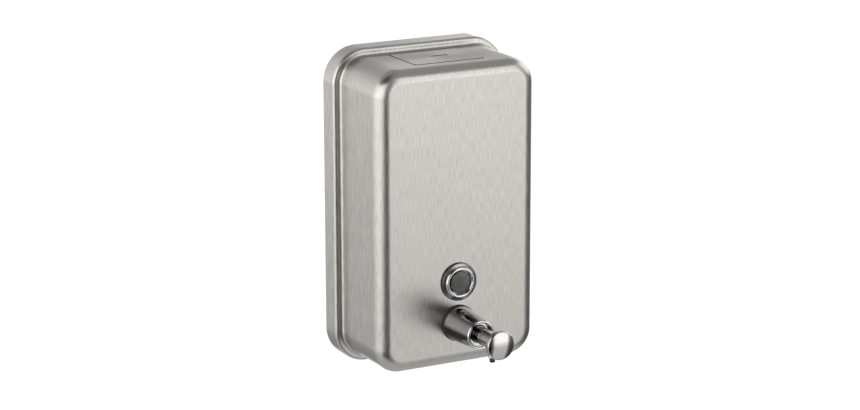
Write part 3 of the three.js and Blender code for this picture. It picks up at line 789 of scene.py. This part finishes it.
def makeFillerLid(l):
    lid = pushed("fillerLid", lidOutline(0, 0, l["cornerRadius"]), lidHigh.z - sheet, lidHigh.z + l["proud"])
    slotHalf = l["slotWidth"] / 2
    slotOutline = roundedRectangle(l["slotLength"] / 2, slotHalf, slotHalf - 0.05, 6)
    slotOutline = [(x + l["slotX"], d + l["slotDepth"]) for x, d in slotOutline]
    cut(lid, pushed("slot", slotOutline, lidHigh.z - sheet - past, lidHigh.z + past))
    eased(lid, l["edgeRound"], 3)
    radius = l["knuckleRadius"]
    web, upper = radius * l["webShare"], lidHigh.z - sheet + l["webInto"]
    eye = arcPoints(hingeDepth, hingeHeight, radius, 180, 360, 20)
    knuckleOutline = [(hingeDepth + web, upper), (hingeDepth - web, upper)] + eye
    knuckles = []
    for side in (-1, 1):
        x0 = side * l["knuckleX"] - l["knuckleWidth"] / 2
        x1 = x0 + l["knuckleWidth"]
        knuckle = pushed("knuckle", knuckleOutline, x0, x1, "across")
        pinAxis = (0, hingeDepth, hingeHeight)
        bore = rod("bore", l["pinRadius"] + play, x0 - past, x1 + past, 32, "across", pinAxis)
        knuckles.append(cut(knuckle, bore))
    joined(lid, *knuckles)

    def atEdge(middle, normal):
        return middle.z > lidHigh.z - sheet - pickSlack and abs(normal.z) < steep

    # the lid's cut edges take the painted seam shade
    placed(lid, "filler_lid", "lid", "brushedSteel", 30, [("paintedSeamShade", atEdge)])


makeFrontShell(shellSet, lidSet)
makeFillerLid(lidSet)
print("shell and lid made")

# Sight window


def makeBezel(s):
    back, lipTop = depths("window_bezel")
    flangeBack = depths("window_gasket")[1] + gap
    bead = (s["lip"] - s["pocket"]) / 2
    rearRound, frontRound = s["flangeRounds"]
    out, down = s["lipFoot"]
    outline = softened(
        [
            (s["innerBore"], back),
            (s["tail"], back, s["tailRound"]),
            (s["tail"], flangeBack),
            (s["flange"], flangeBack, rearRound),
            (s["flange"], flangeBack + s["edge"], frontRound),
            (s["lip"] + out, lipTop - bead - down),
        ],
        4,
        closed=False,
    )
    outline += arcPoints(s["pocket"] + bead, lipTop - bead, bead, 20, 180, 18)
    mouth = [(s["pocket"], face), (s["innerBore"], face, s["boreRound"]), (s["innerBore"], back)]
    outline += softened(mouth, 4, closed=False)[:-1]
    bezel = turned("windowBezel", outline, s["steps"], centre=sightAxis)

    def fromAxis(point):
        return Vector((point.x, point.z - s["height"])).length

    def onFlange(middle, normal):
        return fromAxis(middle) > s["lip"] - pickSlack and -middle.y > flangeBack

    def inBore(middle, normal):
        return fromAxis(middle) < s["innerBore"] + s["boreReach"]

    looks = [("satinChrome", onFlange), ("frostedBore", inBore)]
    placed(bezel, "window_bezel", "tank", "polishedChrome", 24, looks)


def makeWindowGasket(s):
    back, front = depths("window_gasket")
    low, high = span("window_gasket")
    radius, inner, corner = (high.x - low.x) / 2, s["tail"] + gap, s["gasketRound"]
    outline = softened([(inner, back), (radius, back, corner), (radius, front, corner), (inner, front)])
    gasket = turned("windowGasket", outline, s["steps"], centre=sightAxis)
    placed(gasket, "window_gasket", "tank", "blackRubber")


def makeWindowLens(s):
    back, top = depths("window_lens")
    low, high = span("window_lens")
    radius, crown, edge = (high.x - low.x) / 2, s["lensCrown"], s["lensEdge"]
    rimFront = top - crown
    outline = [(0, back), (radius - edge, back), (radius, back + edge), (radius, rimFront - 0.1)]
    for t in range(6, 90, 6):
        outline.append((radius * cos(radians(t)), rimFront + crown * sin(radians(t))))
    outline.append((0, top))
    lens = turned("windowLens", outline, s["steps"], centre=sightAxis)
    placed(lens, "window_lens", "tank", "clearAcrylic", 40)


makeBezel(sightSet)
makeWindowGasket(sightSet)
makeWindowLens(sightSet)
print("sight window made")

# Push valve

stemSet = {
    "tail": 4.0,
    "tailLength": 6.4,
    "radius": 5.4,
    "spigot": 3.4,
    "spigotLength": 6.0,
    "inlet": 1.3,
    "chamber": 2.4,
    "chamberSpan": (2.4, 9.4),  # from the stem's rear end
    "coneFrom": 1.6,
    "channel": 1.5,
}
buttonSet = {
    "neck": 5.4,
    "radius": 9.3,
    "round": 1.0,
    "rimTurn": 80,  # how far the rim's rounding goes before the crown starts
    "crown": 0.92,
    "crownSteps": 16,
    "flare": 1.3,
    "flareRound": 1.6,
    "thickness": 4.6,
    "backRound": 0.75,
    "neckPast": 1.5,
    "spout": 2.5,
    "spoutDrop": 10.6,
    "spoutWall": 0.5,
    "tipLength": 3.5,
    "tipWall": 0.6,
    "channel": 1.5,
    "socket": 3.7,
    "socketDepth": 6.3,
}


def makeCollar(v):
    back, front = depths("valve_collar")
    mouth, sleeve = v["front"] - v["lip"], v["barrel"] + gap
    shoulder = front - v["recess"] + gap
    bead = v["lip"] / 2
    outside = [(sleeve, back), (v["base"], back, v["baseRound"]), (v["front"], front - bead)]
    outline = softened(outside, 5, closed=False)[:-1]
    outline += arcPoints(v["front"] - bead, front - bead, bead, 2, 180, 18)
    inside = [(mouth, front - bead - 0.1), (mouth, shoulder, v["mouthRound"]), (sleeve, shoulder)]
    outline += softened(inside + [(sleeve, back)], 4, closed=False)[:-1]
    collar = turned("valveCollar", outline, v["steps"], centre=valveAxis)

    def onFlank(middle, normal):
        return -middle.y < front - v["lip"] and abs(normal.y) < 0.5

    # the collar's flank takes the painted-shade chrome, darker than the lip
    placed(collar, "valve_collar", "tank", "polishedChrome", 28, [("paintedShadeChrome", onFlank)])


def makeValveGasket(v):
    back, front = depths("valve_gasket")
    low, high = span("valve_gasket")
    radius, sleeve = (high.x - low.x) / 2, v["barrel"] + gap
    slope, corner = v["gasketSlope"], v["gasketRound"]
    outline = [
        (sleeve, back),
        (radius, back, 0.25),
        (radius, front - slope, corner),
        (radius - slope, front, corner),
        (sleeve, front),
    ]
    gasket = turned("valveGasket", softened(outline), v["steps"], centre=valveAxis)
    placed(gasket, "valve_gasket", "tank", "blackRubber")


def makeGuideBush(v):
    back, front = depths("guide_bush")
    flangeBack = front - v["bushFlange"]
    outline = [
        (v["bushBore"], back, 0.2),
        (v["bushSpigot"], back, 0.3),
        (v["bushSpigot"], flangeBack),
        (v["barrel"], flangeBack, 0.15),
        (v["barrel"], front, 0.25),
        (v["bushBore"], front, 0.45),
    ]
    bush = turned("guideBush", softened(outline), centre=valveAxis)
    placed(bush, "guide_bush", "tank", "polishedChrome")


def makeStem(s):
    back, front = depths("plunger_stem")
    chamberBack, chamberFront = (back + part for part in s["chamberSpan"])
    spigotFrom = front - s["spigotLength"]
    outline = [
        (s["inlet"], back, 0.1),
        (s["tail"], back, 0.3),
        (s["tail"], back + s["tailLength"]),
        (s["radius"], back + s["tailLength"], 0.3),
        (s["radius"], spigotFrom, 0.25),
        (s["spigot"], spigotFrom),
        (s["spigot"], front, 0.3),
        (s["channel"], front, 0.15),
        (s["channel"], chamberFront),
        (s["chamber"], chamberFront),
        (s["chamber"], chamberBack),
        (s["inlet"], back + s["coneFrom"]),
    ]
    stem = turned("plungerStem", softened(outline, 4), centre=valveAxis)
    # the stem takes the painted-shade chrome
    placed(stem, "plunger_stem", "plunger", "paintedShadeChrome")


def buttonOutline(b, neckBack, front):
    back = front - b["thickness"]
    edge = front - b["crown"] - b["round"]
    rear = [
        (0, neckBack),
        (b["neck"], neckBack, 0.25),
        (b["neck"], back - 0.2, b["flareRound"]),
        (b["neck"] + b["flare"], back, 0.4),
        (b["radius"], back, b["backRound"]),
        (b["radius"], edge),
    ]
    outline = softened(rear, 7, closed=False)[:-1]
    outline += arcPoints(b["radius"] - b["round"], edge, b["round"], 0, b["rimTurn"], 12)
    rimRadius, rimDepth = outline[-1]
    for k in range(1, b["crownSteps"]):
        left = 1 - k / b["crownSteps"]
        outline.append((rimRadius * left, rimDepth + (front - rimDepth) * (1 - left**2)))
    return outline + [(0, front)]


def makeButton(b):
    neckBack, front = depths("push_button")
    button = turned("pushButton", buttonOutline(b, neckBack, front), 128, centre=valveAxis)
    z = valveSet["height"]
    spoutAxis = (0, neckBack + b["neckPast"] + b["spout"], 0)
    spoutEnd = z - b["spoutDrop"]
    tipFrom = spoutEnd + b["tipLength"]
    spoutOutline = [(0, spoutEnd), (b["spout"], spoutEnd, 0.15), (b["spout"], z), (0, z)]
    joined(button, turned("spout", softened(spoutOutline, 4, closed=False), 64, "up", spoutAxis))
    socket = rod("socket", b["socket"], neckBack - past, neckBack + b["socketDepth"], 64, centre=valveAxis)
    passage = rod("passage", b["channel"], tipFrom - 1, z + 0.5, 48, "up", spoutAxis)
    mouth = rod("mouth", b["spout"] - b["spoutWall"], spoutEnd - past, tipFrom, 48, "up", spoutAxis)
    cut(button, socket, passage, mouth)
    placed(button, "push_button", "plunger", "buttonChrome", 30)

    low, high = span("nozzle_tip")
    radius = (high.x - low.x) / 2
    bore = radius - b["tipWall"]
    outline = [(bore, low.z, 0.15), (radius, low.z, 0.3), (radius, high.z, 0.2), (bore, high.z, 0.1)]
    tip = turned("nozzleTip", softened(outline), 64, "up", spoutAxis)
    placed(tip, "nozzle_tip", "plunger", "blackNylon")


makeCollar(valveSet)
makeValveGasket(valveSet)
makeGuideBush(valveSet)
makeStem(stemSet)
makeButton(buttonSet)
print("push valve made")

# Springs

springSet = {
    "wireSides": 14,
    "stepsPerTurn": 40,
    "deadTurn": 0.75,  # turns wound close at each end
}
springs = [
    # name, node, body, joint, wire radius, turns, travel, the end that stays
    ("returnSpring", "return_spring", "tank", "press", 0.45, 7.5, 10.5, "rear"),
    ("latchSpring", "latch_spring", "lid", "latch_slide", 0.15, 4.5, 3.0, "rear"),
    ("outletSpring", "outlet_spring", "plunger", "outlet_check_lift", 0.18, 5.5, 1.2, "front"),
]


def coiled(name, radius, wire, turns, start, end, centre, s):
    bm = bmesh.new()
    cx, cd, cz = centre
    steps = int(turns * s["stepsPerTurn"])
    dead = s["deadTurn"]
    reach = end - start - 2 * wire  # of the wire's middle, from end to end
    closeRise = dead * 2 * wire
    rings = []
    for k in range(steps + 1):
        wound = turns * k / steps
        fromEnd = turns - wound
        if wound < dead:
            along = 2 * wire * wound
        elif fromEnd < dead:
            along = reach - 2 * wire * fromEnd
        else:
            along = closeRise + (reach - 2 * closeRise) * (wound - dead) / (turns - 2 * dead)
        angle = 2 * pi * wound
        ring = []
        for a, b in circlePoints(wire, s["wireSides"]):
            out = radius + a
            place = (cx + out * cos(angle), -(cd + start + wire + along + b), cz + out * sin(angle))
            ring.append(bm.verts.new([part * mm for part in place]))
        rings.append(ring)
    for first, second in zip(rings, rings[1:]):
        ringFaces(bm, first, second)
    bm.faces.new(rings[0])
    bm.faces.new(rings[-1])
    return closedMesh(bm, name)


# Each is wound between the back and the front of its node.
def makeSpring(s, name, node, body, joint, wire, turns, travel, fixed):
    low, high = span(node)
    rear, front = depths(node)
    radius = (high.x - low.x) / 2 - wire
    middle = ((high.x + low.x) / 2, 0, (high.z + low.z) / 2)
    spring = coiled(name, radius, wire, turns, rear, front, middle, s)
    placed(spring, node, body, "plainSteel", 50)
    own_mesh(spring)


for row in springs:
    makeSpring(springSet, *row)
print("springs made")

# Back and wall mounting

panelSet = {
    "inset": 1.3,
    "flangeFrom": 1.5,
    "depth": 8.0,
    "bend": 2.0,
    "notch": 2.6,
    "notchDepth": 6.8,
}
plateSet = {
    "baseHalf": 28.0,
    "rampRun": 3.0,
    "wingHalf": 40.0,
    "halfHeight": 42.0,
    "sheet": 1.5,
    "joggle": 3.0,
    "corner": 4.0,
    "bend": 2.2,
    "screwX": 18.0,
    "screwZ": 28.0,
    "screwHole": 2.6,
    "screwSink": 1.2,
    "tongueHalf": 8.0,
    "tongueInto": 2.0,
    "tabTop": -97.1,
    "tabDepth": 7.4,
    "tapped": 2.3,
}
railSet = {
    "web": 41.5,
    "sheet": 1.2,
    "lip": 7.0,
    "flange": 9.0,
    "halfHeight": 45.0,
    "front": 7.7,
    "rear": 1.2,
    "bend": 1.9,
    "stopFrom": 42.3,
}
lockSet = {
    "headRadius": 3.8,
    "headRound": 0.6,
    "radius": 2.0,
    "root": 1.65,
    "pitch": 0.7,
    "headHeight": 2.2,
    "socket": 1.3,
}


def makeBackPanel(p, s):
    inset, depth, bend = p["inset"], p["depth"], p["bend"]
    corner = (inset + bend, depth + sheet - bend)
    outer = [(inset, p["flangeFrom"])] + arcPoints(*corner, bend, 180, 90, 8)
    inner = [(inset + sheet, p["flangeFrom"] - past)] + arcPoints(*corner, bend - sheet, 180, 90, 8)
    pan = lofted("backPanel", [tankRing(*place, s) for place in outer])
    hollow = lofted("panHollow", [tankRing(*place, s) for place in inner])
    half, deep = p["notch"], p["notchDepth"]
    end = half - 0.05
    notchOutline = softened([(-half, -1), (half, -1), (half, deep, end), (-half, deep, end)], 10)
    cut(pan, hollow, pushed("notch", notchOutline, -halfHeight, -halfHeight + inset + sheet + past))
    eased(pan, s["edgeRound"])
    placed(pan, "back_panel", "tank", "plainSteel", 28)


def makeWallPlate(p):
    base, wing, joggle, thick = (p[part] for part in ("baseHalf", "wingHalf", "joggle", "sheet"))
    bend, height = p["bend"], p["halfHeight"]
    ramp = base + p["rampRun"]
    half = [
        (base, 0, bend),
        (ramp, joggle, bend),
        (wing, joggle),
        (wing, joggle + thick),
        (ramp - thick / 2, joggle + thick, bend + thick),
        (base - thick / 2, thick, bend),
    ]
    section = half + [(-x, *rest) for x, *rest in reversed(half)]
    plate = pushed("wallPlate", softened(section, 6), -height, height)
    corners = roundedRectangle(wing, height, p["corner"], 8)
    combined(plate, [pushed("trim", corners, -1, joggle + thick + 1, "out")], "INTERSECT")

    top, deep, tongueTop = p["tabTop"], p["tabDepth"], p["tongueInto"] - height
    side = [
        (0, tongueTop),
        (0, top - thick, bend),
        (deep, top - thick),
        (deep, top),
        (thick, top, 0.8),
        (thick, tongueTop),
    ]
    joined(plate, pushed("tongue", softened(side, 6), -p["tongueHalf"], p["tongueHalf"], "across"))
    lockAxis = (0, shellSet["lockDepth"], 0)
    holes = [rod("tapped", p["tapped"], top - thick - past, top + past, 40, "up", lockAxis)]
    r, rim = p["screwHole"], p["screwHole"] + p["screwSink"]
    profile = [(0, -1), (r, -1), (r, thick - 0.6), (rim, thick + 0.6), (0, thick + 0.6)]
    for x in (-p["screwX"], p["screwX"]):
        for z in (-p["screwZ"], p["screwZ"]):
            holes.append(turned("screwSpot", profile, 48, centre=(x, 0, z)))
    cut(plate, *holes)
    eased(plate, 0.15)
    placed(plate, "wall_plate", "tank", "plainSteel", 28)


def makeRail(side, r):
    web, thick, front, rear, bend = (r[part] for part in ("web", "sheet", "front", "rear", "bend"))
    lipEnd, flangeEnd = web - r["lip"], web + r["flange"]
    section = [
        (lipEnd, rear),
        (web + thick, rear, bend),
        (web + thick, front - thick, bend - thick),
        (flangeEnd, front - thick),
        (flangeEnd, front),
        (web, front, bend),
        (web, rear + thick, bend - thick),
        (lipEnd, rear + thick),
    ]
    name, node = ("railRight", "rail_right") if side > 0 else ("railLeft", "rail_left")
    outline = [(side * x, d) for x, d in softened(section, 6)]
    rail = pushed(name, outline, -r["halfHeight"], r["halfHeight"])
    xs = sorted((side * lipEnd, side * (web + thick / 2)))
    stopDepth = (rear + thick / 2, front - thick)
    joined(rail, block("stop", xs, stopDepth, (r["stopFrom"], r["stopFrom"] + thick)))
    eased(rail, 0.15)
    placed(rail, node, "tank", "plainSteel", 28)


def makeLockScrew(k, depth):
    low, high = span("lock_screw")
    under, tip, root = low.z + k["headHeight"], high.z, k["root"]
    head = [(k["headRadius"], low.z, k["headRound"]), (k["headRadius"], under, 0.15)]
    profile = softened([(0, low.z)] + head + [(root, under)], 5, closed=False)
    height = under + 0.6
    while height < tip - 2 * k["pitch"]:
        crest = [height + k["pitch"] * share for share in (0.4, 0.6)]
        profile += [(root, height)] + [(k["radius"], z) for z in crest]
        height += k["pitch"]
    profile += [(root, height), (root, tip - 0.3), (root - 0.3, tip), (0, tip)]
    screw = turned("lockScrew", profile, 64, "up", (0, depth, 0))
    hexagon = [(0, low.z - 1), (k["socket"], low.z - 1), (k["socket"], under - 0.8), (0, under - 0.5)]
    cut(screw, turned("hexSocket", hexagon, 6, "up", (0, depth, 0)))
    placed(screw, "lock_screw", "tank", "plainSteel")


makeBackPanel(panelSet, shellSet)
makeWallPlate(plateSet)
makeRail(-1, railSet)
makeRail(1, railSet)
makeLockScrew(lockSet, shellSet["lockDepth"])
print("back and wall mounting made")

# Lid seat, hinge pin and latch

seatSet = {
    "corner": 5.0,
    "openCorner": 3.0,
    "reliefCorner": 0.5,
    "reliefSide": 0.8,
    "reliefRear": 1.4,
    "ledge": 3.0,
    "earFrom": 25.1,
    "earSheet": 1.2,
    "earRear": 0.8,
    "earRound": 1.6,
    "edge": 0.15,
}
latchSet = {
    "half": 4.3,
    "sheet": 1.0,
    "floor": 92.7,
    "bend": 1.3,
    "boltThickness": 1.6,
    "tongue": 1.2,
    "nose": 1.2,
    "edge": 0.15,
}


def makeLidSeat(s, l):
    low, high = span("lid_seat")
    rear, front = depths("lid_seat")
    top, under = high.z, high.z - sheet
    swing = hingeDepth + s["ledge"]

    def flat(name, halfX, d0, d1, corner, z0, z1):
        outline = roundedRectangle(halfX, (d1 - d0) / 2, corner, 8)
        return pushed(name, [(x, d + (d0 + d1) / 2) for x, d in outline], z0, z1)

    seat = flat("lidSeat", high.x, rear, front, s["corner"], under, top)
    through = (under - 1, top + 1)
    openEnds = (swing - s["ledge"], lidFront - s["ledge"])
    opening = flat("opening", lidHalf - s["ledge"], *openEnds, s["openCorner"], *through)
    reliefEnds = (lidRear - s["reliefRear"], swing)
    relief = flat("relief", lidHalf + s["reliefSide"], *reliefEnds, s["reliefCorner"], *through)
    cut(seat, opening, relief)
    earRear, foot, corner = lidRear - s["earRear"], low.z, s["earRound"]
    upper = under + sheet / 2
    earFoot = [(earRear, foot, corner), (swing, foot, corner)]
    earOutline = softened(earFoot + [(swing, upper), (earRear, upper)], 8)
    for side in (-1, 1):
        x0, x1 = sorted((side * s["earFrom"], side * (s["earFrom"] + s["earSheet"])))
        joined(seat, pushed("ear", earOutline, x0, x1, "across"))
        pinAxis = (0, hingeDepth, hingeHeight)
        cut(seat, rod("pinHole", l["pinRadius"] + play, x0 - 1, x1 + 1, 40, "across", pinAxis))
    eased(seat, s["edge"])
    placed(seat, "lid_seat", "tank", "plainSteel", 28)


def makeHingePin():
    low, high = span("hinge_pin")
    r = (high.z - low.z) / 2
    outline = softened([(0, low.x), (r, low.x, 0.3), (r, high.x, 0.3), (0, high.x)], 5, closed=False)
    pin = turned("hingePin", outline, 48, "across", (0, hingeDepth, hingeHeight))
    placed(pin, "hinge_pin", "tank", "plainSteel")


def makeLatchGuide(g, l):
    top = span("latch_guide")[1].z
    rear, front = depths("latch_guide")

    def channel(half, floor, bend, upper):
        section = [(-half, floor, bend), (half, floor, bend), (half, upper), (-half, upper)]
        return [(x + l["slotX"], z) for x, z in softened(section, 6)]

    half, thick, floor, bend = (g[part] for part in ("half", "sheet", "floor", "bend"))
    outer = channel(half + thick, floor - thick, bend, top)
    guide = pushed("latchGuide", outer, rear, front, "out")
    inner = channel(half, floor, bend - thick, top + 1)
    cut(guide, pushed("guideHollow", inner, rear + thick, front + past, "out"))
    eased(guide, g["edge"])
    placed(guide, "latch_guide", "lid", "plainSteel", 28)


def makeLatchBolt(g):
    low, high = span("latch_bolt")
    rear, front = depths("latch_bolt")
    top, upright = g["floor"] + gap + g["boltThickness"], rear + g["tongue"]
    side = [
        (rear, low.z, 1.2),
        (front - g["nose"] - 0.4, low.z),
        (front, low.z + g["nose"], 0.2),
        (front, top),
        (upright, top, 0.4),
        (upright, high.z, 0.3),
        (rear, high.z, 0.3),
    ]
    bolt = pushed("latchBolt", softened(side, 5), low.x, high.x, "across")
    eased(bolt, g["edge"])
    placed(bolt, "latch_bolt", "bolt", "plainSteel", 28)


makeLidSeat(seatSet, lidSet)
makeHingePin()
makeLatchGuide(latchSet, lidSet)
makeLatchBolt(latchSet)
print("lid seat and latch made")

# The nodes whose shape is right keep it, and take the finishes above.

slotFinish = {
    "brushed_steel": "brushedSteel",
    "plain_steel": "plainSteel",
    "chrome": "polishedChrome",
    "rubber": "blackRubber",
    "acetal": "whiteAcetal",
    "black_nylon": "blackNylon",
    "acrylic": "clearAcrylic",
}


def finishNodes():
    slotOf = {row["node"]: row["material_slot"] for row in frame["record"]["subparts"]}
    for name, node in frame["nodes"].items():
        if node.hide_render:
            continue
        node.data.materials.clear()
        node.data.materials.append(finish[slotFinish[slotOf[name]]])


finishNodes()
print("finishes given to the other nodes")
